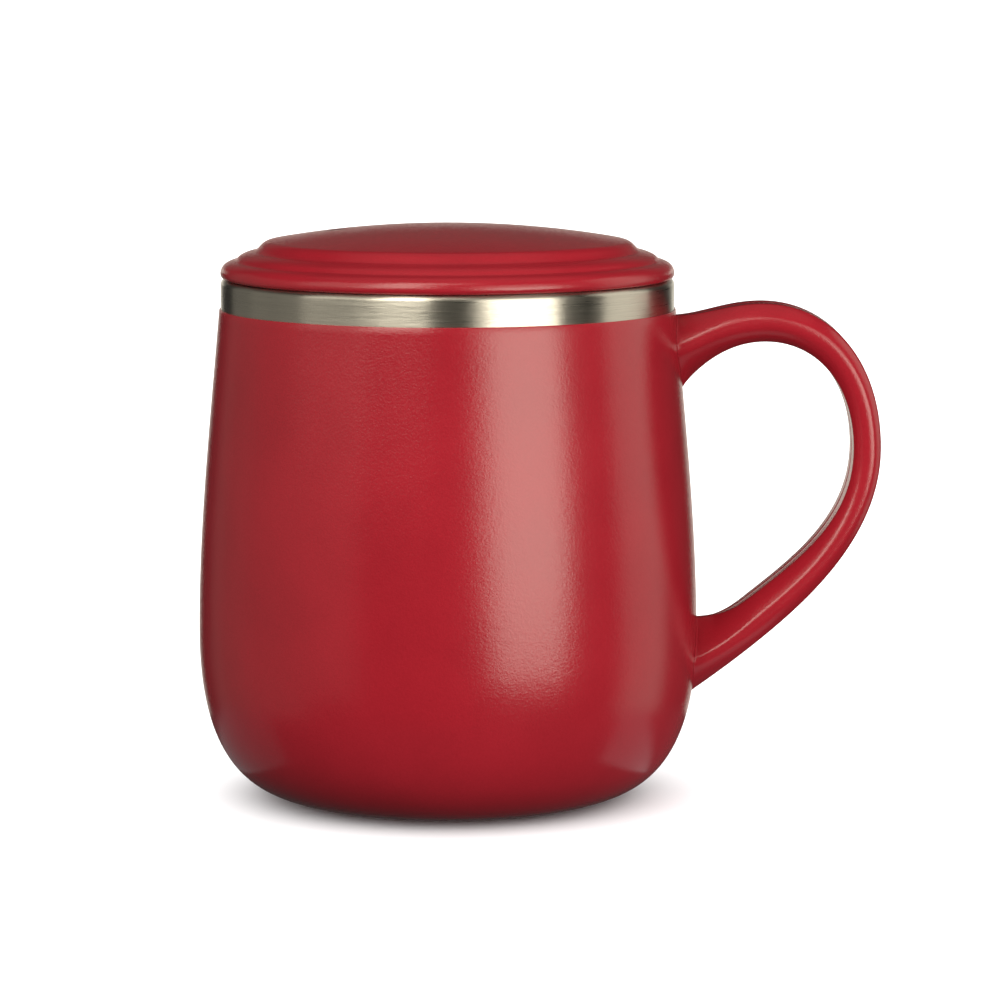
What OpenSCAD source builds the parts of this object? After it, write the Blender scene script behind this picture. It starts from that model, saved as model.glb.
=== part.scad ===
// Double-wall mug with a stepped push-in lid and a loop handle.
// Millimetres. +Z is up, the mug's axis is the Z axis, the rest plane is
// z = 0, and the handle's loop lies in the XZ plane on the +X side.

/* [Outer shell] */
// Height of the shell's top edge, where the bare band begins
shell_top_z = 92.2; // [80:0.1:110]
// Outside radius of the shell at its top edge
shell_top_r = 42.8; // [38:0.1:50]
// Outside radius at the belly, the widest level
belly_r = 47; // [42:0.1:55]
// Height of the belly
belly_z = 31; // [20:0.5:50]
// Outside radius where the curved bottom meets the base opening
foot_r = 28; // [20:0.5:35]
// Height of the shell's lowest edge above the rest plane
foot_z = 0.45; // [0.1:0.05:2]
// Wall thickness of the shell
shell_wall = 0.6; // [0.4:0.05:1.2]

/* [Rim band] */
// Outside radius of the bare band
band_r = 42.5; // [38:0.1:50]
// Height of the rim's top plane
rim_z = 97.8; // [85:0.1:120]
// Radius of the band's rounded top edge
band_round = 1.0; // [0.3:0.1:1.5]
// Wall thickness of the band
band_wall = 0.8; // [0.5:0.05:1.2]
// Length of the tail that sits behind the shell's top edge
band_tail = 4.7; // [2:0.1:8]

/* [Inner cup] */
// Inside radius of the mouth
mouth_r = 39.7; // [35:0.1:45]
// Height at which the straight mouth ends
neck_z = 86; // [75:0.5:92]
// Inside radius of the cup at its widest level
cup_r = 43.4; // [38:0.1:50]
// Height of the cup's widest level
cup_z = 33; // [20:0.5:50]
// Height of the drinking side of the cup's floor
floor_z = 6.4; // [4:0.1:12]
// Radius of the flat part of the cup's floor
floor_r = 27; // [15:0.5:34]
// Wall thickness of the cup
cup_wall = 0.55; // [0.4:0.05:1]

/* [Base] */
// Underside height of the base plate
plate_z = 1.9; // [1:0.1:4]
// Thickness of the base plate
plate_t = 0.6; // [0.4:0.05:1.2]
// Radius of the vacuum port in the base plate
port_r = 1.5; // [0.8:0.1:3]
// Radius of the foot pad
pad_r = 27.1; // [18:0.1:34]
// Radius of the getter disc
getter_r = 4; // [2:0.5:8]
// Distance of the getter disc from the axis
getter_x = 14; // [8:0.5:22]

/* [Handle] */
// Half the handle's depth, front to back
grip_half_depth = 7; // [5:0.1:12]
// Wall thickness of the pressed handle halves
handle_wall = 0.8; // [0.5:0.05:1.5]
// Depth of the bevel along the weld seam
seam_bevel = 0.2; // [0:0.05:0.5]
// Half the width of the flat along the handle's ridge
ridge_flat = 0.5; // [0.2:0.1:1]
// Radius of the edge between a flank and the side of the handle
shoulder_r = 1.5; // [1:0.1:2.5]
// Stations along each of the handle's four curves
stations = 16; // [6:1:24]

/* [Lid] */
// Height of the lid's crown
crown_z = 107.85; // [100:0.05:130]
// Radius of the lid's flat dome as a part of a sphere
dome_radius = 192; // [100:1:400]
// Radius of the edge of the dome, where the first step begins
dome_edge_r = 32.6; // [25:0.1:36]
// Outside radius of the lid's lip
lip_r = 42.5; // [38:0.1:50]
// Height of the lip's underside
lip_z = 97.9; // [90:0.05:120]
// Outside radius of the plug's skirt
plug_r = 38; // [34:0.1:42]
// Height of the plug's underside
plug_z = 88.5; // [80:0.1:95]
// Outside radius of the sealing fins as stored
seal_r = 39.4; // [36:0.05:42]
// Radius of the steam vent
vent_r = 1.9; // [1:0.1:4]
// Distance of the steam vent from the axis
vent_d = 21; // [10:0.5:30]
// Turn of the steam vent about the axis, from +X
vent_turn = 171; // [0:1:359]

/* [Display] */
// Facets of the round parts on screen
facets = 96; // [48:8:160]

/* [Hidden] */
$fn = facets;

// ---- curves -------------------------------------------------------------

// Point of a cubic curve with four control points.
function curve_at(p, t) =
    p[0] * pow(1 - t, 3) + p[1] * 3 * t * pow(1 - t, 2)
    + p[2] * 3 * t * t * (1 - t) + p[3] * pow(t, 3);

// n steps along the curve, from its first point on, without the last one.
function curve(p, n) = [for (i = [0 : n - 1]) curve_at(p, i / n)];

// The unit normal to the left of a polyline at point i.
function left_of(p, i) =
    let (a = p[max(i - 1, 0)], b = p[min(i + 1, len(p) - 1)],
         d = (b - a) / norm(b - a))
    [-d[1], d[0]];

// The polyline moved sideways by w, to its left.
function beside(p, w) = [for (i = [0 : len(p) - 1]) p[i] + w * left_of(p, i)];

// The same list from its last item to its first.
function backwards(p) = [for (i = [len(p) - 1 : -1 : 0]) p[i]];

// ---- the mug's profiles, as [radius, height] ------------------------------

// Outside of the shell, from the base opening up to the top edge.
shell_out = concat(
    curve([[foot_r, foot_z], [foot_r + 11, foot_z],
           [belly_r, belly_z - 22], [belly_r, belly_z]], 22),
    curve([[belly_r, belly_z], [belly_r, belly_z + 20],
           [shell_top_r + 1.76, shell_top_z - 20.2],
           [shell_top_r, shell_top_z - 0.2]], 24),
    [[shell_top_r, shell_top_z - 0.2]]);

// Drinking side of the cup, from the edge of its floor up to the mouth.
cup_in = concat(
    curve([[floor_r, floor_z], [floor_r + 9.5, floor_z],
           [cup_r, cup_z - 19], [cup_r, cup_z]], 16),
    curve([[cup_r, cup_z], [cup_r, cup_z + 21],
           [mouth_r, neck_z - 8], [mouth_r, neck_z]], 18),
    [[mouth_r, neck_z], [mouth_r, rim_z - 0.6], [mouth_r + 0.15, rim_z - 0.2]]);

// Radius of the shell's outside at a height.
shell_table = [for (p = shell_out) [p[1], p[0]]];
function shell_radius(z) = lookup(z, shell_table);

module turned(points) {
    rotate_extrude() polygon(points);
}

// ---- mug ----------------------------------------------------------------

// Bare steel cup that holds the drink, with a straight mouth for the lid.
module inner_liner() {
    n = len(cup_in);
    skin = [for (i = [0 : n - 4]) cup_in[i] - cup_wall * left_of(cup_in, i)];
    color("silver")
    turned(concat(
        [[0, floor_z]], cup_in, [[mouth_r + cup_wall, rim_z]],
        [[mouth_r + cup_wall, neck_z]], backwards(skin),
        [[floor_r, floor_z - cup_wall], [0, floor_z - cup_wall]]));
}

// Bare steel collar: visible band, rounded rim, inner hem on the cup's
// mouth and a set-in tail behind the shell's top edge.
module rim_band() {
    hem_r = mouth_r + cup_wall;
    under = rim_z - 0.9;
    color("gainsboro")
    turned(concat(
        [[hem_r, rim_z - 2.3], [hem_r + 0.75, rim_z - 2.3],
         [hem_r + 0.75, under - 0.3], [hem_r + 0.95, under - 0.08],
         [hem_r + 1.15, under], [band_r - band_wall, under - 0.4],
         [band_r - band_wall, shell_top_z + 0.1],
         [band_r - 0.95, shell_top_z - 0.5],
         [band_r - 0.95, shell_top_z - band_tail],
         [band_r - 0.35, shell_top_z - band_tail],
         [band_r - 0.35, shell_top_z], [band_r, shell_top_z]],
        [for (a = [0 : 15 : 90])
            [band_r - band_round + band_round * cos(a),
             rim_z - band_round + band_round * sin(a)]],
        [[hem_r, rim_z]]));
}

// Coated steel barrel with its curved bottom, open under the base.
module outer_shell() {
    color("firebrick")
    turned(concat(
        shell_out,
        [[shell_top_r - 0.15, shell_top_z], [shell_top_r - shell_wall, shell_top_z]],
        backwards([for (i = [1 : len(shell_out) - 2])
            shell_out[i] + shell_wall * left_of(shell_out, i)]),
        [[foot_r, foot_z + shell_wall]]));
}

// Steel disc with a turned-down flange that closes the base opening.
module base_plate() {
    top = plate_z + plate_t;
    rim = foot_r - 0.05;
    color("silver")
    turned([
        [port_r, plate_z], [rim - 1.1, plate_z], [rim - 0.65, plate_z - 0.45],
        [rim - 0.65, foot_z], [rim, foot_z], [rim, top - 0.5],
        [rim - 0.5, top], [port_r, top]]);
}

// Bead that closes the vacuum port in the middle of the base plate.
module vacuum_seal() {
    top = plate_z + plate_t;
    color("dimgray")
    turned([
        [0, plate_z - 0.5], [port_r - 0.5, plate_z - 0.45],
        [port_r, plate_z - 0.1], [port_r, top], [port_r + 0.8, top],
        [port_r + 0.7, top + 0.35], [port_r, top + 0.55], [0, top + 0.6]]);
}

// Gas-binding disc in a flat tray, spot-welded inside the vacuum space.
module getter() {
    top = plate_z + plate_t;
    color("gray")
    translate([-getter_x, 0, top])
    turned([
        [0, 0], [getter_r, 0], [getter_r, 1.1], [getter_r - 0.4, 1.1],
        [getter_r - 0.6, 0.8], [0, 0.8]]);
}

// Soft disc that the mug stands on, with a pocket over the bead.
module foot_pad() {
    color("black")
    turned([
        [0, 0], [pad_r - 0.4, 0], [pad_r, 0.4], [pad_r, plate_z - 0.45],
        [pad_r - 0.45, plate_z], [3.2, plate_z], [3.2, plate_z - 0.7],
        [0, plate_z - 0.7]]);
}

// ---- handle ---------------------------------------------------------------

// Outer and inner outline of the loop in the XZ plane, in four curves each
// from the upper root over the arch to the lower root.
loop_out = [
    [[42.9, 90.9], [48, 91.0], [52.5, 93.3], [59, 93.3]],
    [[59, 93.3], [71.6, 93.3], [81.2, 82.8], [81.2, 66]],
    [[81.2, 66], [81.2, 51], [69.8, 39.3], [61.2, 31.9]],
    [[61.2, 31.9], [56.1, 27.5], [51, 23.4], [46.2, 19.7]]];
loop_in = [
    [[44.2, 77.5], [47.8, 82.1], [52.7, 86.1], [59.5, 86.1]],
    [[59.5, 86.1], [69.4, 86.1], [76.05, 77.8], [76.05, 66]],
    [[76.05, 66], [76.05, 52.9], [66.7, 45.4], [56.9, 37.75]],
    [[56.9, 37.75], [54.2, 35.6], [51.6, 33.7], [46.9, 33.65]]];

function along(c, s) =
    s >= 4 ? curve_at(c[3], 1) : curve_at(c[floor(s)], s - floor(s));

// Each side of the section turns away from the ridge in four arcs: the flat
// by 8 degrees, the crease to 34, the flank to its edge and the shoulder to 90.
flat_turn = 8;
crease_turn = 34;
side_steps = [1, 2, 3, 3];
side_points = 9;

function part_of(x, low, high) = min(1, max(0, (x - low) / (high - low)));

function flank_radius(w, crease, t) =
    (w - ridge_flat - crease * (sin(crease_turn) - sin(flat_turn))
     - shoulder_r * (1 - sin(t))) / (sin(t) - sin(crease_turn));

function side_drop(w, crease, t) =
    ridge_flat * tan(flat_turn / 2)
    + crease * (cos(flat_turn) - cos(crease_turn))
    + flank_radius(w, crease, t) * (cos(crease_turn) - cos(t))
    + shoulder_r * cos(t);

// How far the flank turns by its edge: as far as the depth allows.
function edge_turn(w, crease, low = 38, high = 62, n = 20) =
    n == 0 ? low
    : let (t = (low + high) / 2)
      side_drop(w, crease, t) < grip_half_depth - 0.5
        ? edge_turn(w, crease, t, high, n - 1)
        : edge_turn(w, crease, low, t, n - 1);

// The four arcs as [radius, turn at the start, turn at the end].
function side_arcs(w, crease) =
    let (t = edge_turn(w, crease))
    [[ridge_flat / sin(flat_turn), 0, flat_turn],
     [crease, flat_turn, crease_turn],
     [flank_radius(w, crease, t), crease_turn, t],
     [shoulder_r, t, 90]];

function arc_step(a, u) = a[0] * [sin(u) - sin(a[1]), cos(u) - cos(a[1])];

function arc_start(arcs, i) =
    i == 0 ? [0, grip_half_depth]
    : arc_start(arcs, i - 1) + arc_step(arcs[i - 1], arcs[i - 1][2]);

// One side of the section as [across, depth, turn], from the ridge outward.
function section_side(w, crease) =
    let (arcs = side_arcs(w, crease))
    concat([[0, grip_half_depth, 0]],
           [for (i = [0 : 3], k = [1 : side_steps[i]])
               let (a = arcs[i], u = a[1] + (a[2] - a[1]) * k / side_steps[i],
                    q = arc_start(arcs, i) + arc_step(a, u))
               [q[0], q[1], u]]);

// Half of the loop's section as [across, depth]: from the seam on the outer
// side over the ridge to the seam on the inner side, then back along the
// hollow. a is half the thickness, s the place along the loop.
function half_section(a, s, w) =
    let (shift = 0.2 + (s < 2 ? 0.8 : 0.5) * part_of(a, 2.8, 6.5),
         far = section_side(a - shift, 1.5 + 1.3 * part_of(s, 2.4, 3)),
         near = section_side(a + shift, 2.8 - 1.3 * part_of(s, 2, 2.6)),
         line = concat(
             [for (i = [side_points : -1 : 1])
                 [shift + far[i][0], far[i][1], far[i][2]]],
             [for (q = near) [shift - q[0], q[1], -q[2]]]))
    concat(
        [[a - seam_bevel, 0], [a, seam_bevel]],
        [for (q = line) [q[0], q[1]]],
        [[-a, seam_bevel], [-a + seam_bevel, 0], [-a + w, 0]],
        backwards([for (q = line) [q[0] - w * sin(q[2]), q[1] - w * cos(q[2])]]),
        [[a - w, 0]]);

// One ring of the handle's skin at station s, on the side y = side * depth.
// The first and the last ring lie on the shell's outside.
function ring(s, side) =
    let (o = along(loop_out, s), i = along(loop_in, s),
         mid = (o + i) / 2, a = norm(o - i) / 2, dir = (o - i) / (2 * a))
    [for (q = half_section(a, s, handle_wall))
        let (p = mid + dir * q[0], y = side * q[1])
        s == 0 || s == 4
            ? [sqrt(pow(shell_radius(p[1]), 2) - y * y) + 0.02, y, p[1]]
            : [p[0], y, p[1]]];

// Pressed half of the handle: a channel swept round the loop.
module handle_half(side) {
    total = 4 * stations;
    rings = [for (j = [0 : total]) ring(4 * j / total, side)];
    n = len(rings[0]);
    m = (n - 4) / 2;
    // The channel's outer points run 0 .. half_n - 1, its inner points on from there.
    half_n = 4 + 2 * side_points + 1;
    flip = side > 0;
    skin = [for (j = [0 : total - 1], i = [0 : n - 1])
        let (k = (i + 1) % n)
        each [[j * n + i, (j + 1) * n + i, (j + 1) * n + k],
              [j * n + i, (j + 1) * n + k, j * n + k]]];
    // End faces: strips between an outer point and its inner partner.
    strip = [for (i = [0 : half_n - 2])
        let (p = n - 1 - min(max(i - 1, 0), 2 * side_points + 2),
             q = n - 1 - min(max(i, 0), 2 * side_points + 2))
        each (p == q ? [[i, i + 1, p]] : [[i, i + 1, q], [i, q, p]])];
    first = strip;
    last = [for (f = strip) [f[2] + total * n, f[1] + total * n, f[0] + total * n]];
    faces = concat(skin, first, last);
    points = [for (r = rings) each r];
    polyhedron(points = points,
               faces = flip ? [for (f = faces) [f[2], f[1], f[0]]] : faces,
               convexity = 6);
}

module handle_front() {
    color("firebrick") handle_half(-1);
}

module handle_rear() {
    color("firebrick") handle_half(1);
}

// ---- lid ------------------------------------------------------------------

// Height of the dome's outside at a radius.
function dome(r) = crown_z - dome_radius + sqrt(dome_radius * dome_radius - r * r);

edge_z = dome(dome_edge_r);

// Outside of the lid, from the crown over two steps down to the lip.
er = dome_edge_r;
lid_out = concat(
    [for (i = [0 : 15]) let (r = er * i / 16) [r, dome(r)]],
    curve([[er, edge_z], [er + 1.25, edge_z - 0.22],
           [er + 1.3, edge_z - 0.23], [er + 1.9, edge_z - 0.61]], 8),
    curve([[er + 1.9, edge_z - 0.61], [er + 2.5, edge_z - 0.99],
           [er + 3.05, edge_z - 2.04], [er + 3.8, edge_z - 2.14]], 8),
    curve([[er + 3.8, edge_z - 2.14], [er + 4.5, edge_z - 2.23],
           [er + 5.8, edge_z - 2.61], [er + 6.4, edge_z - 3.06]], 6),
    curve([[er + 6.4, edge_z - 3.06], [er + 6.85, edge_z - 3.4],
           [er + 6.9, edge_z - 3.76], [er + 7.4, edge_z - 3.86]], 6),
    curve([[er + 7.4, edge_z - 3.86], [er + 8.4, edge_z - 4.06],
           [lip_r - 0.65, edge_z - 4.41], [lip_r - 0.23, edge_z - 5.21]], 8),
    curve([[lip_r - 0.23, edge_z - 5.21], [lip_r - 0.04, edge_z - 5.61],
           [lip_r + 0.04, lip_z + 1.15], [lip_r, lip_z + 0.8]], 4),
    curve([[lip_r, lip_z + 0.8], [lip_r - 0.07, lip_z + 0.35],
           [lip_r - 0.35, lip_z + 0.05], [lip_r - 0.9, lip_z]], 5),
    [[lip_r - 0.9, lip_z]]);

module at_vent() {
    rotate([0, 0, vent_turn]) translate([vent_d, 0, 0]) children();
}

// Stepped dome with its lip, a locating ring underneath and the vent hole.
module lid_cap() {
    seat = lip_z + 1;
    color("firebrick")
    difference() {
        turned(concat(
            lid_out,
            [[lip_r - 2.5, lip_z], [lip_r - 2.5, seat], [37.2, seat],
             [37.2, lip_z + 2.3], [36.9, lip_z + 2.65], [36.15, lip_z + 2.7],
             [36.15, lip_z - 1.6], [34.4, lip_z - 1.6], [34.4, lip_z + 3.1],
             [33.4, lip_z + 3.5], [32.9, lip_z + 4.6], [32, lip_z + 5.3],
             [30.5, dome(30.5) - 1.85]],
            [for (i = [10 : -1 : 0]) let (r = 29 * i / 10) [r, dome(r) - 1.85]]));
        at_vent() translate([0, 0, lip_z]) cylinder(r = vent_r, h = 12);
    }
}

// Hollow plug under the cap: skirt, seal groove, floor and vent pipe.
module lid_plug() {
    color("dimgray")
    difference() {
        union() {
            turned([
                [0, plug_z], [plug_r - 1.2, plug_z], [plug_r - 0.35, plug_z + 0.35],
                [plug_r, plug_z + 1.2], [plug_r, 91.6], [plug_r - 1.2, 91.6],
                [plug_r - 1.2, 94.8], [plug_r, 94.8], [plug_r, lip_z],
                [plug_r + 1.8, lip_z], [plug_r + 1.8, lip_z + 1], [36.2, lip_z + 1],
                [36.2, lip_z - 1.7], [35, lip_z - 2.3], [35, plug_z + 2.5],
                [34.3, plug_z + 1.8], [0, plug_z + 1.8]]);
            at_vent() translate([0, 0, plug_z + 1])
                cylinder(r = vent_r + 1.6, h = 103.6 - plug_z - 1);
        }
        at_vent() translate([0, 0, plug_z - 1])
            cylinder(r = vent_r, h = 20);
    }
}

// Soft ring with two fins, held in the plug's groove.
module lid_seal() {
    inner = plug_r - 1.1;
    color("whitesmoke")
    turned([
        [inner, 91.7], [38.1, 91.7], [38.4, 91.8], [seal_r - 0.15, 92.25],
        [seal_r, 92.5], [seal_r - 0.15, 92.75], [38.3, 92.5], [38.1, 92.8],
        [38.1, 93.3], [38.4, 93.4], [seal_r - 0.15, 93.85], [seal_r, 94.1],
        [seal_r - 0.15, 94.35], [38.3, 94.1], [38.1, 94.3], [38.1, 94.7],
        [inner, 94.7]]);
}

// ---- assembly -------------------------------------------------------------

inner_liner();
rim_band();
outer_shell();
base_plate();
vacuum_seal();
getter();
foot_pad();
handle_front();
handle_rear();
lid_cap();
lid_plug();
lid_seal();
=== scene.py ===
import math

import bmesh
import bpy
from mathutils import Matrix, Vector


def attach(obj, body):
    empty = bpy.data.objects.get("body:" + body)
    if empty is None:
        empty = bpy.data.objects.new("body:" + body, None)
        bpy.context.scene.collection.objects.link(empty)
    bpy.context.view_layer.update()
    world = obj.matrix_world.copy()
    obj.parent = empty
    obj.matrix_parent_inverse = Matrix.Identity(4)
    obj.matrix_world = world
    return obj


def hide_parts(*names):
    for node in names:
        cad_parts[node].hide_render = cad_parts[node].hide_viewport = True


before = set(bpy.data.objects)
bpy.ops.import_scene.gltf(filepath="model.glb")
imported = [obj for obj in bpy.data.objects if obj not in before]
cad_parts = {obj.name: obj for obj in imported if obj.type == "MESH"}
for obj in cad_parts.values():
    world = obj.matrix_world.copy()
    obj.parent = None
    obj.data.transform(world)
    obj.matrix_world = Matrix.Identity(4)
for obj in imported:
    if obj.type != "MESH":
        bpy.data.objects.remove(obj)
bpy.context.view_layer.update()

MM = 0.001

# ---------------------------------------------------------------- curves ----


def curve_at(p, t):
    a, b, c, d = (1 - t) ** 3, 3 * t * (1 - t) ** 2, 3 * t * t * (1 - t), t ** 3
    return (a * p[0][0] + b * p[1][0] + c * p[2][0] + d * p[3][0],
            a * p[0][1] + b * p[1][1] + c * p[2][1] + d * p[3][1])


def curve(p, n):
    """n points along a cubic curve, its last point left out."""
    return [curve_at(p, i / n) for i in range(n)]


def beside(points, w):
    """The open polyline moved to its left by w."""
    out = []
    last = len(points) - 1
    for i, (x, y) in enumerate(points):
        a, b = points[max(i - 1, 0)], points[min(i + 1, last)]
        dx, dy = b[0] - a[0], b[1] - a[1]
        n = math.hypot(dx, dy)
        out.append((x - dy / n * w, y + dx / n * w))
    return out


def rounded(corners, steps=4):
    """A closed polygon from (x, y) or (x, y, radius) corners, each corner
    with a radius turned into an arc."""
    out = []
    n = len(corners)
    for i, c in enumerate(corners):
        r = c[2] if len(c) > 2 else 0
        p = Vector(c[:2])
        if r <= 0:
            out.append((p.x, p.y))
            continue
        a = Vector(corners[i - 1][:2]) - p
        b = Vector(corners[(i + 1) % n][:2]) - p
        la, lb = a.length, b.length
        a.normalize(); b.normalize()
        half = math.acos(max(-1, min(1, a.dot(b)))) / 2
        cut = min(r / math.tan(half), 0.48 * la, 0.48 * lb)
        r = cut * math.tan(half)
        centre = p + (a + b).normalized() * (r / math.sin(half))
        s, e = p + a * cut - centre, p + b * cut - centre
        turn = math.atan2(s.x * e.y - s.y * e.x, s.dot(e))
        for k in range(steps + 1):
            t = turn * k / steps
            q = Vector((s.x * math.cos(t) - s.y * math.sin(t),
                        s.x * math.sin(t) + s.y * math.cos(t))) + centre
            out.append((q.x, q.y))
    return out


# ---------------------------------------------------------------- meshes ----


def new_object(name, verts, faces, materials, sharp=35, weld=1e-7):
    me = bpy.data.meshes.new(name)
    me.from_pydata(verts, [], faces)
    bm = bmesh.new()
    bm.from_mesh(me)
    bmesh.ops.remove_doubles(bm, verts=bm.verts, dist=weld)
    bmesh.ops.recalc_face_normals(bm, faces=bm.faces)
    for f in bm.faces:
        f.smooth = True
    bm.to_mesh(me)
    bm.free()
    me.set_sharp_from_angle(angle=math.radians(sharp))
    ob = bpy.data.objects.new(name, me)
    bpy.context.scene.collection.objects.link(ob)
    for m in materials:
        me.materials.append(m)
    return ob


def lathe(name, profile, materials, segments=192, sharp=35, centre=(0, 0)):
    """A closed profile of (radius, height) in mm, turned about +Z."""
    verts, faces, rows = [], [], []
    for r, z in profile:
        if abs(r) < 1e-6:
            verts.append((centre[0] * MM, centre[1] * MM, z * MM))
            rows.append([len(verts) - 1] * segments)
        else:
            start = len(verts)
            for k in range(segments):
                a = 2 * math.pi * k / segments
                verts.append(((centre[0] + r * math.cos(a)) * MM,
                              (centre[1] + r * math.sin(a)) * MM, z * MM))
            rows.append(list(range(start, start + segments)))
    n = len(rows)
    for i in range(n):
        a, b = rows[i], rows[(i + 1) % n]
        if a[0] == a[1] and b[0] == b[1]:
            continue
        for k in range(segments):
            m = (k + 1) % segments
            f = [a[k], a[m], b[m], b[k]]
            f = [v for j, v in enumerate(f) if v not in f[:j]]
            if len(f) > 2:
                faces.append(f)
    return new_object(name, verts, faces, materials, sharp)


def cut(ob, tool):
    """Takes the tool's shape out of the object for good."""
    mod = ob.modifiers.new("cut", "BOOLEAN")
    mod.operation = "DIFFERENCE"
    mod.solver = "EXACT"
    mod.object = tool
    bpy.context.view_layer.update()
    deps = bpy.context.evaluated_depsgraph_get()
    me = bpy.data.meshes.new_from_object(ob.evaluated_get(deps))
    old = ob.data
    ob.modifiers.clear()
    ob.data = me
    me.name = old.name + "_cut"
    bpy.data.meshes.remove(old)
    bpy.data.objects.remove(tool)


# ------------------------------------------------------------- materials ----


def material(name):
    m = bpy.data.materials.new(name)
    m.use_nodes = True
    nt = m.node_tree
    nt.nodes.clear()
    out = nt.nodes.new("ShaderNodeOutputMaterial")
    out.location = (900, 0)
    bsdf = nt.nodes.new("ShaderNodeBsdfPrincipled")
    bsdf.location = (600, 0)
    nt.links.new(bsdf.outputs["BSDF"], out.inputs["Surface"])
    return m, nt, bsdf


def coords(nt, scale=(1, 1, 1)):
    tc = nt.nodes.new("ShaderNodeTexCoord")
    mp = nt.nodes.new("ShaderNodeMapping")
    mp.inputs["Scale"].default_value = scale
    nt.links.new(tc.outputs["Object"], mp.inputs["Vector"])
    return mp.outputs["Vector"]


def noise(nt, vector, scale, detail=2.0, rough=0.5, distortion=0.0):
    n = nt.nodes.new("ShaderNodeTexNoise")
    n.inputs["Scale"].default_value = scale
    n.inputs["Detail"].default_value = detail
    n.inputs["Roughness"].default_value = rough
    n.inputs["Distortion"].default_value = distortion
    nt.links.new(vector, n.inputs["Vector"])
    return n.outputs["Fac"]


def ranged(nt, value, low, high, out_low, out_high):
    n = nt.nodes.new("ShaderNodeMapRange")
    n.inputs["From Min"].default_value = low
    n.inputs["From Max"].default_value = high
    n.inputs["To Min"].default_value = out_low
    n.inputs["To Max"].default_value = out_high
    nt.links.new(value, n.inputs["Value"])
    return n.outputs["Result"]


def ramp(nt, value, stops):
    n = nt.nodes.new("ShaderNodeValToRGB")
    e = n.color_ramp.elements
    while len(e) > 1:
        e.remove(e[-1])
    e[0].position, e[0].color = stops[0][0], (*stops[0][1], 1)
    for p, c in stops[1:]:
        x = e.new(p)
        x.color = (*c, 1)
    nt.links.new(value, n.inputs["Fac"])
    return n.outputs["Color"]


def bump(nt, bsdf, height, strength, distance, over=None):
    n = nt.nodes.new("ShaderNodeBump")
    n.inputs["Strength"].default_value = strength
    n.inputs["Distance"].default_value = distance
    nt.links.new(height, n.inputs["Height"])
    if over is not None:
        nt.links.new(over, n.inputs["Normal"])
    nt.links.new(n.outputs["Normal"], bsdf.inputs["Normal"])
    return n.outputs["Normal"]


def mixed(nt, a, b, fac_a=0.5):
    n = nt.nodes.new("ShaderNodeMath")
    n.operation = "MULTIPLY"
    n.inputs[1].default_value = fac_a
    nt.links.new(a, n.inputs[0])
    m = nt.nodes.new("ShaderNodeMath")
    m.operation = "MULTIPLY_ADD"
    m.inputs[1].default_value = 1 - fac_a
    nt.links.new(b, m.inputs[0])
    nt.links.new(n.outputs[0], m.inputs[2])
    return m.outputs[0]


def coat_material(name, red, peel, rough, wave, grit):
    """Satin red coat: even colour with a faint cloudiness, an orange-peel
    skin whose waves are about peel metres apart, and a finer grit on it."""
    m, nt, b = material(name)
    v = coords(nt)
    cloud = noise(nt, v, 60, 3, 0.55)
    grain = noise(nt, v, 1 / peel, 2, 0.5)
    tone = mixed(nt, cloud, grain, 0.6)
    d = [c * 0.93 for c in red]
    l = [min(1, c * 1.07) for c in red]
    nt.links.new(ramp(nt, tone, [(0.35, d), (0.65, l)]), b.inputs["Base Color"])
    nt.links.new(ranged(nt, cloud, 0.3, 0.7, rough - 0.01, rough + 0.01),
                 b.inputs["Roughness"])
    b.inputs["Metallic"].default_value = 0.0
    b.inputs["IOR"].default_value = 1.5
    wide = noise(nt, v, 0.35 / peel, 2, 0.5)
    skin = bump(nt, b, mixed(nt, grain, wide, 0.6), wave, peel * 0.5)
    bump(nt, b, noise(nt, v, 1 / 0.00012, 1, 0.5), grit, 0.00006, skin)
    return m


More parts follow.
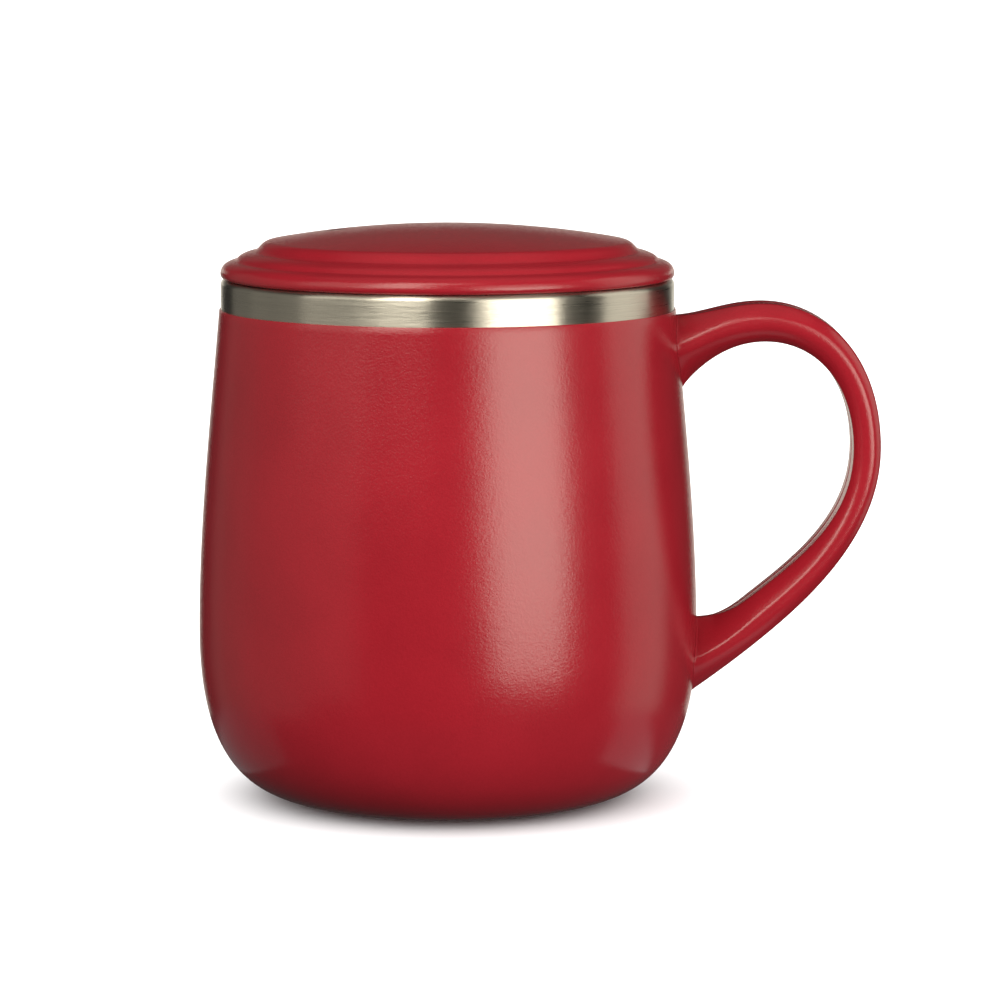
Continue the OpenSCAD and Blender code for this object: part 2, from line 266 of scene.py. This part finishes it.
def steel_material(name, tone, rough, line, strength, aniso, wave):
    """Stainless steel brushed round the axis: fine rings of differing
    height, and a highlight that spreads across them."""
    m, nt, b = material(name)
    tc = nt.nodes.new("ShaderNodeTexCoord")
    sep = nt.nodes.new("ShaderNodeSeparateXYZ")
    nt.links.new(tc.outputs["Object"], sep.inputs[0])
    ang = nt.nodes.new("ShaderNodeMath")
    ang.operation = "ARCTAN2"
    nt.links.new(sep.outputs["Y"], ang.inputs[0])
    nt.links.new(sep.outputs["X"], ang.inputs[1])
    rad = nt.nodes.new("ShaderNodeMath")
    rad.operation = "MULTIPLY"
    rad.inputs[1].default_value = 0.0425
    nt.links.new(ang.outputs[0], rad.inputs[0])
    wrap = nt.nodes.new("ShaderNodeCombineXYZ")
    nt.links.new(rad.outputs[0], wrap.inputs["X"])
    nt.links.new(sep.outputs["Z"], wrap.inputs["Z"])
    stretch = nt.nodes.new("ShaderNodeMapping")
    stretch.inputs["Scale"].default_value = (0.02, 1, 1)
    nt.links.new(wrap.outputs[0], stretch.inputs["Vector"])
    v = stretch.outputs["Vector"]
    lines = noise(nt, v, 1 / line, 3, 0.6)
    broad = noise(nt, v, 0.2 / line, 2, 0.5)
    both = mixed(nt, lines, broad, 0.7)
    d = [c * 0.8 for c in tone]
    nt.links.new(ramp(nt, both, [(0.36, d), (0.64, tone)]), b.inputs["Base Color"])
    nt.links.new(ranged(nt, lines, 0.3, 0.7, rough - 0.04, rough + 0.05),
                 b.inputs["Roughness"])
    b.inputs["Metallic"].default_value = 1.0
    b.inputs["Anisotropic"].default_value = aniso
    b.inputs["Anisotropic Rotation"].default_value = 0.25
    tan = nt.nodes.new("ShaderNodeTangent")
    tan.direction_type = "RADIAL"
    tan.axis = "Z"
    nt.links.new(tan.outputs["Tangent"], b.inputs["Tangent"])
    wavy = nt.nodes.new("ShaderNodeMapping")
    wavy.inputs["Scale"].default_value = (0.12, 1, 1)
    nt.links.new(wrap.outputs[0], wavy.inputs["Vector"])
    waves = noise(nt, wavy.outputs["Vector"], 0.3 / line, 2, 0.5)
    skin = bump(nt, b, waves, 1.0, wave)
    bump(nt, b, both, strength, line * 0.4, skin)
    return m


def plain_material(name, tone, rough, peel, strength, sub=0.0):
    m, nt, b = material(name)
    v = coords(nt)
    grain = noise(nt, v, 1 / peel, 3, 0.55)
    cloud = noise(nt, v, 80, 2, 0.5)
    d = [c * 0.88 for c in tone]
    l = [min(1, c * 1.1) for c in tone]
    nt.links.new(ramp(nt, mixed(nt, grain, cloud, 0.5), [(0.3, d), (0.7, l)]),
                 b.inputs["Base Color"])
    nt.links.new(ranged(nt, grain, 0.3, 0.7, rough - 0.05, rough + 0.05),
                 b.inputs["Roughness"])
    if sub:
        b.inputs["Subsurface Weight"].default_value = sub
        b.inputs["Subsurface Radius"].default_value = (0.003, 0.003, 0.0025)
        b.inputs["Subsurface Scale"].default_value = 1.0
    bump(nt, b, grain, strength, peel * 0.4)
    return m


RED = (0.385, 0.0148, 0.0280)
coat = coat_material("powder_coat", RED, 0.00042, 0.20, 0.20, 0.14)
cap_skin = coat_material("cap_plastic", RED, 0.00038, 0.23, 0.26, 0.14)
band_steel = steel_material("band_brushed", (0.64, 0.60, 0.52), 0.30, 0.00022, 0.16, 0.95,
                            0.00004)
cup_steel = steel_material("cup_brushed", (0.60, 0.59, 0.56), 0.30, 0.00020, 0.10, 0.6,
                           0.00001)
plate_steel = plain_material("plate_steel", (0.50, 0.49, 0.47), 0.40, 0.0004, 0.1)
plate_steel.node_tree.nodes["Principled BSDF"].inputs["Metallic"].default_value = 1.0
solder = plain_material("solder_painted_glow", (0.25, 0.25, 0.26), 0.5, 0.0006, 0.3)
solder.node_tree.nodes["Principled BSDF"].inputs["Metallic"].default_value = 1.0
rubber = plain_material("pad_rubber", (0.028, 0.028, 0.028), 0.75, 0.0005, 0.4)
plug_skin = plain_material("plug_plastic", (0.045, 0.044, 0.043), 0.42, 0.0004, 0.25)
silicone = plain_material("seal_silicone", (0.70, 0.69, 0.66), 0.45, 0.0006, 0.15, 0.25)

# ------------------------------------------------------------------ mug ----

SHELL_TOP_Z, SHELL_TOP_R = 92.2, 42.8
BELLY_Z, BELLY_R = 31.0, 47.0
FOOT_R, FOOT_Z, SHELL_WALL = 28.0, 0.45, 0.6
BAND_R, RIM_Z = 42.5, 97.8
MOUTH_R, NECK_Z, CUP_R, CUP_Z = 39.7, 86.0, 43.4, 33.0
FLOOR_Z, FLOOR_R, CUP_WALL = 6.4, 27.0, 0.55

LOWER = [(FOOT_R, FOOT_Z), (FOOT_R + 11, FOOT_Z),
         (BELLY_R, BELLY_Z - 22), (BELLY_R, BELLY_Z)]
UPPER = [(BELLY_R, BELLY_Z), (BELLY_R, BELLY_Z + 20),
         (SHELL_TOP_R + 1.76, SHELL_TOP_Z - 20.2), (SHELL_TOP_R, SHELL_TOP_Z - 0.2)]
shell_line = curve(LOWER, 44) + curve(UPPER, 48) + [(SHELL_TOP_R, SHELL_TOP_Z - 0.2)]


def shell_radius(z):
    for (r0, z0), (r1, z1) in zip(shell_line, shell_line[1:]):
        if z0 <= z <= z1:
            return r0 + (r1 - r0) * (z - z0) / (z1 - z0)
    return shell_line[0][0] if z < shell_line[0][1] else shell_line[-1][0]


inside = beside(shell_line, SHELL_WALL)
shell_profile = (
    shell_line
    + [(SHELL_TOP_R - 0.05, SHELL_TOP_Z - 0.06), (SHELL_TOP_R - 0.16, SHELL_TOP_Z),
       (SHELL_TOP_R - SHELL_WALL, SHELL_TOP_Z)]
    + list(reversed(inside[1:-1]))
    + [(FOOT_R, FOOT_Z + SHELL_WALL)])
shell = lathe("shell_coated", shell_profile, [coat], 224)
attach(shell, "mug"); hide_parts("outer_shell")

hem = MOUTH_R + CUP_WALL
under = RIM_Z - 0.9
band_profile = [
    (hem, RIM_Z - 2.3), (hem + 0.75, RIM_Z - 2.3), (hem + 0.75, under - 0.3),
    (hem + 0.95, under - 0.08), (hem + 1.15, under), (BAND_R - 0.8, under - 0.4),
    (BAND_R - 0.8, SHELL_TOP_Z + 0.1), (BAND_R - 0.95, SHELL_TOP_Z - 0.5),
    (BAND_R - 0.95, SHELL_TOP_Z - 4.7), (BAND_R - 0.35, SHELL_TOP_Z - 4.7),
    (BAND_R - 0.35, SHELL_TOP_Z), (BAND_R, SHELL_TOP_Z)] + [
    (BAND_R, SHELL_TOP_Z + 4.6 * k / 6) for k in range(1, 6)] + [
    (BAND_R - 1 + math.cos(a), RIM_Z - 1 + math.sin(a))
    for a in [math.radians(90 * k / 12) for k in range(13)]] + [(hem, RIM_Z)]
band = lathe("rim_band_brushed", band_profile, [band_steel], 256, 30)
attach(band, "mug"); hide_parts("rim_band")

cup_line = (curve([(FLOOR_R, FLOOR_Z), (FLOOR_R + 9.5, FLOOR_Z),
                   (CUP_R, CUP_Z - 19), (CUP_R, CUP_Z)], 32)
            + curve([(CUP_R, CUP_Z), (CUP_R, CUP_Z + 21),
                     (MOUTH_R, NECK_Z - 8), (MOUTH_R, NECK_Z)], 36)
            + [(MOUTH_R, NECK_Z)])
cup_back = beside(cup_line, -CUP_WALL)
cup_profile = (
    [(0, FLOOR_Z)] + [(FLOOR_R * k / 8, FLOOR_Z) for k in range(1, 8)] + cup_line
    + [(MOUTH_R, RIM_Z - 0.6), (MOUTH_R + 0.04, RIM_Z - 0.38),
       (MOUTH_R + 0.15, RIM_Z - 0.2), (MOUTH_R + 0.33, RIM_Z - 0.06),
       (hem, RIM_Z), (hem, NECK_Z)]
    + list(reversed(cup_back[:-1])) + [(0, FLOOR_Z - CUP_WALL)])
cup = lathe("inner_cup", cup_profile, [cup_steel], 192)
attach(cup, "mug"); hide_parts("inner_liner")

PLATE_Z, PLATE_T, PORT_R, PAD_R = 1.9, 0.6, 1.5, 27.1
rim = FOOT_R - 0.05
plate = lathe("base_plate_pressed", rounded([
    (PORT_R, PLATE_Z), (rim - 1.1, PLATE_Z), (rim - 0.65, PLATE_Z - 0.45),
    (rim - 0.65, FOOT_Z), (rim, FOOT_Z, 0.08), (rim, PLATE_Z + PLATE_T, 0.5),
    (PORT_R, PLATE_Z + PLATE_T)]), [plate_steel], 128)
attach(plate, "mug"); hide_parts("base_plate")

pad = lathe("foot_pad_soft", rounded([
    (0, 0), (PAD_R, 0, 0.45), (PAD_R, PLATE_Z - 0.45), (PAD_R - 0.45, PLATE_Z),
    (3.2, PLATE_Z), (3.2, PLATE_Z - 0.7), (0, PLATE_Z - 0.7)]), [rubber], 128)
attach(pad, "mug"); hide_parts("foot_pad")

# --------------------------------------------------------------- handle ----

LOOP_OUT = [[(42.9, 90.9), (48, 91.0), (52.5, 93.3), (59, 93.3)],
            [(59, 93.3), (71.6, 93.3), (81.2, 82.8), (81.2, 66)],
            [(81.2, 66), (81.2, 51), (69.8, 39.3), (61.2, 31.9)],
            [(61.2, 31.9), (56.1, 27.5), (51, 23.4), (46.2, 19.7)]]
LOOP_IN = [[(44.2, 77.5), (47.8, 82.1), (52.7, 86.1), (59.5, 86.1)],
           [(59.5, 86.1), (69.4, 86.1), (76.05, 77.8), (76.05, 66)],
           [(76.05, 66), (76.05, 52.9), (66.7, 45.4), (56.9, 37.75)],
           [(56.9, 37.75), (54.2, 35.6), (51.6, 33.7), (46.9, 33.65)]]
HALF_DEPTH, HANDLE_WALL, SEAM, WELD = 7.0, 0.8, 0.14, 0.16
FLAT, SHOULDER, EDGE_DROP = 0.5, 1.5, 6.5
FLAT_TURN, CREASE_TURN = math.radians(8), math.radians(34)


def along(c, s):
    return curve_at(c[3], 1) if s >= 4 else curve_at(c[int(s)], s - int(s))


def flank_radius(w, crease, t):
    return ((w - FLAT - crease * (math.sin(CREASE_TURN) - math.sin(FLAT_TURN))
             - SHOULDER * (1 - math.sin(t))) / (math.sin(t) - math.sin(CREASE_TURN)))


def edge_turn(w, crease):
    """How far the flank turns by its edge: as far as the depth allows."""
    low, high = math.radians(38), math.radians(62)
    for _ in range(20):
        t = (low + high) / 2
        drop = (FLAT * math.tan(FLAT_TURN / 2)
                + crease * (math.cos(FLAT_TURN) - math.cos(CREASE_TURN))
                + flank_radius(w, crease, t) * (math.cos(CREASE_TURN) - math.cos(t))
                + SHOULDER * math.cos(t))
        low, high = (t, high) if drop < EDGE_DROP else (low, t)
    return low


def flank_side(w, crease, n):
    """One side of the section, from its ridge to its edge, as (across,
    depth, normal angle): narrow flat, crease, long flank and shoulder."""
    edge = edge_turn(w, crease)
    out, x, y, t = [(0, HALF_DEPTH, 0)], 0, HALF_DEPTH, 0
    for radius, end, steps in ((FLAT / math.sin(FLAT_TURN), FLAT_TURN, 3),
                               (crease, CREASE_TURN, n),
                               (flank_radius(w, crease, edge), edge, n),
                               (SHOULDER, math.pi / 2, n)):
        for k in range(1, steps + 1):
            u = t + (end - t) * k / steps
            out.append((x + radius * (math.sin(u) - math.sin(t)),
                        y - radius * (math.cos(t) - math.cos(u)), u))
        x, y, _ = out[-1]
        t = end
    return out


def part_of(x, low, high):
    return min(1, max(0, (x - low) / (high - low)))


def half_section(a, s, grow=0.0, n=7):
    """Outer points from the outer seam round to the inner seam, then the
    points of the hollow back again. grow pushes the skin outward. The crease
    is sharp on the outer side of the arch and on the inner side of the
    lower arm."""
    shift = 0.2 + (0.8 if s < 2 else 0.5) * part_of(a, 2.8, 6.5)
    far = flank_side(a - shift, 1.5 + 1.3 * part_of(s, 2.4, 3.0), n)
    near = flank_side(a + shift, 2.8 - 1.3 * part_of(s, 2.0, 2.6), n)
    line = ([(shift + x, y, t) for x, y, t in reversed(far[1:])]
            + [(shift - x, y, -t) for x, y, t in near])
    skin = [(x + grow * math.sin(t), y + grow * math.cos(t)) for x, y, t in line]
    hollow = [(x - HANDLE_WALL * math.sin(t), y - HANDLE_WALL * math.cos(t))
              for x, y, t in line]
    e = a + grow
    flat_o, flat_i = skin[0][1] - SEAM, skin[-1][1] - SEAM
    outer = ([(e - SEAM, 0), (e - 0.045, SEAM - 0.045), (e, SEAM + 0.05)]
             + [(e, SEAM + flat_o * k) for k in (0.33, 0.67)] + skin
             + [(-e, SEAM + flat_i * k) for k in (0.67, 0.33)]
             + [(-e, SEAM + 0.05), (-e + 0.045, SEAM - 0.045), (-e + SEAM, 0)])
    back = [(-a + HANDLE_WALL, 0)] + list(reversed(hollow)) + [(a - HANDLE_WALL, 0)]
    return outer, back


def handle_half(name, side, per_curve=28):
    total = 4 * per_curve
    stops = [4 * j / total for j in range(1, total)]
    rings = []
    for s, lift in ([(0, t * WELD) for t in (0, 0.12, 0.3, 0.6, 1)]
                    + [(s, None) for s in stops]
                    + [(4, t * WELD) for t in (1, 0.6, 0.3, 0.12, 0)]):
        o, i = Vector(along(LOOP_OUT, s)), Vector(along(LOOP_IN, s))
        mid, a = (o + i) / 2, (o - i).length / 2
        across = (o - i).normalized()
        grow = 0 if lift is None else WELD - math.sqrt(WELD ** 2 - (WELD - lift) ** 2)
        outer, back = half_section(a, s, grow)
        ring = []
        for x, y in outer + back:
            p = mid + across * x
            px, py, pz = p.x, side * y, p.y
            if lift is not None:
                px = math.sqrt(shell_radius(pz) ** 2 - py * py) + 0.02 + lift
            ring.append((px * MM, py * MM, pz * MM))
        rings.append(ring)
    m, n = len(outer), len(outer) + len(back)
    verts = [v for r in rings for v in r]
    faces = []
    for j in range(len(rings) - 1):
        for i in range(n):
            k = (i + 1) % n
            faces.append([j * n + i, (j + 1) * n + i, (j + 1) * n + k, j * n + k])

    def partner(q):
        return n - 1 - max(0, min(q - 4, len(back) - 1))

    for base in (0, (len(rings) - 1) * n):
        for i in range(m - 1):
            f = [base + i, base + i + 1, base + partner(i + 1), base + partner(i)]
            f = [v for j, v in enumerate(f) if v not in f[:j]]
            if len(f) > 2:
                faces.append(f)
    return new_object(name, verts, faces, [coat], 50)


handle = []
for name, side, node in (("handle_front_half", -1, "handle_front"),
                         ("handle_rear_half", 1, "handle_rear")):
    h = handle_half(name, side)
    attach(h, "mug"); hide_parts(node)
    handle.append(h)

# ------------------------------------------------------------------ lid ----

CROWN_Z, DOME_R, EDGE_R, LIP_R, LIP_Z = 107.85, 192.0, 32.6, 42.5, 97.9
PLUG_R, PLUG_Z, SEAL_R, VENT_R = 38.0, 88.5, 39.4, 1.9
VENT = (21 * math.cos(math.radians(171)), 21 * math.sin(math.radians(171)))


def dome(r):
    return CROWN_Z - DOME_R + math.sqrt(DOME_R ** 2 - r * r)


ez = dome(EDGE_R)
lid_line = ([(EDGE_R * i / 24, dome(EDGE_R * i / 24)) for i in range(24)]
            + curve([(EDGE_R, ez), (33.85, ez - 0.22), (33.9, 104.83), (34.5, 104.45)], 14)
            + curve([(34.5, 104.45), (35.1, 104.07), (35.65, 103.02), (36.4, 102.92)], 14)
            + curve([(36.4, 102.92), (37.1, 102.83), (38.4, 102.45), (39.0, 102.0)], 14)
            + curve([(39.0, 102.0), (39.45, 101.66), (39.5, 101.3), (40.0, 101.2)], 14)
            + curve([(40.0, 101.2), (41.0, 101.0), (41.85, 100.65), (42.27, 99.85)], 16)
            + curve([(42.27, 99.85), (42.46, 99.45), (42.54, 99.05), (42.5, 98.7)], 8)
            + curve([(42.5, 98.7), (42.43, 98.25), (42.15, 97.95), (41.6, LIP_Z)], 8)
            + [(41.6, LIP_Z)])
seat = LIP_Z + 1
lid_profile = (lid_line + [
    (LIP_R - 2.5, LIP_Z), (LIP_R - 2.5, seat), (37.2, seat), (37.2, LIP_Z + 2.3),
    (36.9, LIP_Z + 2.65), (36.15, LIP_Z + 2.7), (36.15, LIP_Z - 1.6),
    (34.4, LIP_Z - 1.6), (34.4, LIP_Z + 3.1), (33.4, LIP_Z + 3.5),
    (32.9, LIP_Z + 4.6), (32, LIP_Z + 5.3), (30.5, dome(30.5) - 1.85)]
    + [(29 * i / 10, dome(29 * i / 10) - 1.85) for i in range(10, -1, -1)])
cap = lathe("lid_cap_dome", lid_profile, [cap_skin], 224, 40)
top_at_vent = dome(21)
cut(cap, lathe("vent_tool", [
    (0, LIP_Z), (VENT_R, LIP_Z), (VENT_R, top_at_vent - 0.4),
    (VENT_R + 0.16, top_at_vent + 0.4), (VENT_R + 0.16, top_at_vent + 3),
    (0, top_at_vent + 3)], [cap_skin], 48, 40, VENT))
cap.data.set_sharp_from_angle(angle=math.radians(40))
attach(cap, "lid"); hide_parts("lid_cap")

plug = lathe("lid_plug_moulded", rounded([
    (0, PLUG_Z), (PLUG_R, PLUG_Z, 1.2), (PLUG_R, 91.6, 0.15),
    (PLUG_R - 1.2, 91.6, 0.2), (PLUG_R - 1.2, 94.8, 0.2), (PLUG_R, 94.8, 0.15),
    (PLUG_R, LIP_Z), (PLUG_R + 1.8, LIP_Z), (PLUG_R + 1.8, LIP_Z + 1),
    (36.2, LIP_Z + 1), (36.2, LIP_Z - 1.7), (35, LIP_Z - 2.3),
    (35, PLUG_Z + 1.8, 0.6), (0, PLUG_Z + 1.8)]), [plug_skin], 160)
cut(plug, lathe("pipe_tool", [(0, PLUG_Z - 1), (VENT_R, PLUG_Z - 1),
                              (VENT_R, PLUG_Z + 3), (0, PLUG_Z + 3)],
                [plug_skin], 48, 40, VENT))
plug.data.set_sharp_from_angle(angle=math.radians(40))
pipe = lathe("vent_pipe", rounded([
    (VENT_R, PLUG_Z + 1.8), (VENT_R + 1.6, PLUG_Z + 1.8),
    (VENT_R + 1.6, 103.6, 0.2), (VENT_R, 103.6, 0.2)]), [plug_skin], 48, 40, VENT)
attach(plug, "lid"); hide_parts("lid_plug")
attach(pipe, "lid")
# a thin sleeve of the plug's dark plastic lines the hole in the cap right up to just under the
# dome's skin, its top following the dome, so the hole's wall shows dark
sleeve = lathe("vent_sleeve", [
    (VENT_R - 0.5, 103.2), (VENT_R - 0.03, 103.2), (VENT_R - 0.03, top_at_vent - 0.06),
    (VENT_R - 0.12, top_at_vent - 0.02), (VENT_R - 0.42, top_at_vent - 0.02),
    (VENT_R - 0.5, top_at_vent - 0.08)], [plug_skin], 48, 40, VENT)
for v in sleeve.data.vertices:
    v.co.z -= ((v.co.x - VENT[0] * MM) * VENT[0] + (v.co.y - VENT[1] * MM) * VENT[1]) / DOME_R
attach(sleeve, "lid")

inner = PLUG_R - 1.1
ring = lathe("seal_ring", rounded([
    (inner, 91.7, 0.2), (38.1, 91.7, 0.2), (38.4, 91.8), (SEAL_R, 92.25, 0.22),
    (SEAL_R, 92.75, 0.22), (38.3, 92.5, 0.2), (38.1, 92.9), (38.1, 93.3, 0.2),
    (38.4, 93.4), (SEAL_R, 93.85, 0.22), (SEAL_R, 94.35, 0.22), (38.3, 94.1, 0.2),
    (38.1, 94.7, 0.2), (inner, 94.7, 0.2)]), [silicone], 160)
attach(ring, "seal"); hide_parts("lid_seal")

# hidden metal pieces keep their solids
for node, m in (("vacuum_seal", solder), ("getter", solder)):
    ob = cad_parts[node]
    for s in ob.material_slots:
        s.material = m

# ---------------------------------------------------------------- stage ----


TABLE_R = 0.09


def stage_material(name, colour, emission=0.0):
    m, nt, b = material(name)
    b.inputs["Base Color"].default_value = (*colour, 1)
    b.inputs["Roughness"].default_value = 0.9
    b.inputs["Specular IOR Level"].default_value = 0.0
    if emission:
        b.inputs["Base Color"].default_value = (0, 0, 0, 1)
        b.inputs["Emission Color"].default_value = (*colour, 1)
        b.inputs["Emission Strength"].default_value = emission
    return m


def disc(name, radius, z, m, segments=96):
    verts = [(0, 0, z)] + [(radius * math.cos(2 * math.pi * k / segments),
                            radius * math.sin(2 * math.pi * k / segments), z)
                           for k in range(segments)]
    faces = [[0, 1 + k, 1 + (k + 1) % segments] for k in range(segments)]
    return new_object(name, verts, faces, [m])


def link_state(name, objs, state):
    """A light-linking set that lights only objs, or everything but objs."""
    c = bpy.data.collections.new(name)
    for ob in objs:
        c.objects.link(ob)
    for link in c.collection_objects:
        link.light_linking.link_state = state
    return c


floor = disc("floor", 5.2, 0.0, stage_material("floor_white", (0.86, 0.86, 0.86)))
floor.visible_glossy = False
floor.visible_diffuse = False
floor.visible_shadow = False
floor_only = link_state("floor_only", [floor], "INCLUDE")
not_floor = link_state("not_floor", [floor], "EXCLUDE")
not_handle = link_state("not_handle", [floor] + handle, "EXCLUDE")
handle_only = link_state("handle_only", handle, "INCLUDE")

# what the mug itself sees of the table: a dim glowing disc around its foot, unseen by the camera;
# its glow is a painted reflection of a dim table, and the disc blocks the panels' light from
# below
table = disc("table_glow", TABLE_R, -0.0006, stage_material("table_painted_glow", (1, 1, 1), 0.06))
table.visible_camera = False


def table_strip(name, x0, x1, y0, y1, radiance):
    """A glowing strip just under the floor beside the mug, unseen by the camera and casting no
    shadow: a painted reflection of a lighter stretch of table, seen only in the mug's lower
    sides.
    """
    verts = [(x0, y0, -0.0003), (x1, y0, -0.0003), (x1, y1, -0.0003), (x0, y1, -0.0003)]
    ob = new_object(name, verts, [(0, 1, 2, 3)],
                    [stage_material(name + "_painted_glow", (1, 1, 1), radiance)])
    ob.visible_camera = False
    ob.visible_shadow = False


# glowing strips right and left of the foot: painted reflections of a lighter table
table_strip("table_right", 0.043, 0.090, -0.033, -0.006, 0.45)
table_strip("table_left", -0.090, -0.043, -0.030, 0.030, 0.20)

sky_m = stage_material("backdrop_white", (1, 1, 1), 2.25)
bm = bmesh.new()
bmesh.ops.create_uvsphere(bm, u_segments=48, v_segments=24, radius=5.5)
me = bpy.data.meshes.new("backdrop")
bm.to_mesh(me); bm.free()
me.materials.append(sky_m)
sky = bpy.data.objects.new("backdrop", me)
bpy.context.scene.collection.objects.link(sky)
sky.light_linking.receiver_collection = floor_only
sky.visible_glossy = False
sky.visible_shadow = False
sky.visible_transmission = False


def panel(name, az0, az1, z0, z1, radiance, receivers=None):
    """An upright softbox 1 m from the mug's axis, facing it. az0 and az1 are
    its sides, in degrees from the camera's side towards +X; z0 and z1 its
    ends."""
    half = math.radians(az1 - az0) / 2
    a = math.radians(az0 + az1) / 2
    w, h = 2 * math.tan(half), z1 - z0
    d = bpy.data.lights.new(name, "AREA")
    d.shape = "RECTANGLE"
    d.size, d.size_y = w, h
    d.energy = math.pi * w * h * radiance
    d.color = (1, 0.96, 0.84)
    ob = bpy.data.objects.new(name, d)
    bpy.context.scene.collection.objects.link(ob)
    ob.location = (math.sin(a), -math.cos(a), (z0 + z1) / 2)
    ob.rotation_euler = Vector((-math.sin(a), math.cos(a), 0)).to_track_quat("-Z", "Y").to_euler()
    ob.visible_camera = False
    ob.light_linking.receiver_collection = receivers or not_floor


panel("key_foot", 22, 52, -0.17, -0.10, 5.3)
panel("key_low", 21, 55.5, -0.10, -0.02, 5.3)
panel("key_mid", 20, 57, -0.02, 0.34, 5.3)
panel("key_high", 20, 56, 0.34, 0.80, 2.0)
panel("key_edge_low", 15, 20, -0.06, 0.12, 2.2)
panel("key_edge", 13, 20, 0.12, 0.60, 1.8)
panel("key_wing", 56.5, 70, 0.05, 0.80, 0.25)
panel("side_low", 86, 117, -0.55, 0.00, 0.80)
panel("side_high", 84, 121, 0.00, 0.95, 1.10)
panel("front_left", -38, -10, 0.36, 2.10, 5.4, not_handle)
panel("front_mid", -44, -8, 0.27, 0.36, 3.0)
panel("front_top", -8, 16, 1.20, 2.00, 2.2, not_handle)
panel("left_bright", -77, -38, 0.20, 1.15, 1.15)
panel("left_front", -68, -40, -0.30, 0.20, 0.24)
panel("left_side", -91, -68, -0.50, 0.60, 0.24)
panel("left_rear", -115, -91, -0.50, 0.60, 0.21)
panel("left_back", -137, -115, -0.50, 0.60, 0.15)
panel("back", 158, 199, -0.60, 0.10, 0.85)
panel("back_mid", 150, 206, 0.10, 0.18, 1.20, not_handle)
panel("back_high", 150, 206, 0.18, 0.55, 0.085, not_handle)
panel("handle_edge", -54, -38, 0.22, 0.62, 5.0, handle_only)
panel("handle_left", -36, -12, 0.36, 1.70, 5.4, handle_only)
panel("handle_front", 0, 6, 0.40, 1.20, 5.0, handle_only)

top = bpy.data.lights.new("top", "AREA")
top.shape = "DISK"
top.size = 1.4
top.energy = math.pi * math.pi * 0.49 * 0.19
top.color = (1, 0.96, 0.84)
top_ob = bpy.data.objects.new("top", top)
bpy.context.scene.collection.objects.link(top_ob)
top_ob.location = (0, 0, 1.1)
top_ob.visible_camera = False
top_ob.light_linking.receiver_collection = not_floor

world = bpy.data.worlds.new("studio")
bpy.context.scene.world = world
world.use_nodes = True
bg = world.node_tree.nodes["Background"]
bg.inputs["Color"].default_value = (1, 0.97, 0.90, 1)
bg.inputs["Strength"].default_value = 0.035

cam = bpy.data.cameras.new("camera")
cam.sensor_width = 36
cam.lens = 36 * 4275 / 1000
cam.clip_start = 0.02
cam_ob = bpy.data.objects.new("camera", cam)
bpy.context.scene.collection.objects.link(cam_ob)
cam_ob.location = (0.00983, -0.8, 0.1596)
cam_ob.rotation_euler = (math.pi / 2 - 0.129, 0, 0)
bpy.context.scene.camera = cam_ob
bpy.context.scene.view_settings.view_transform = "Standard"

bpy.context.view_layer.update()
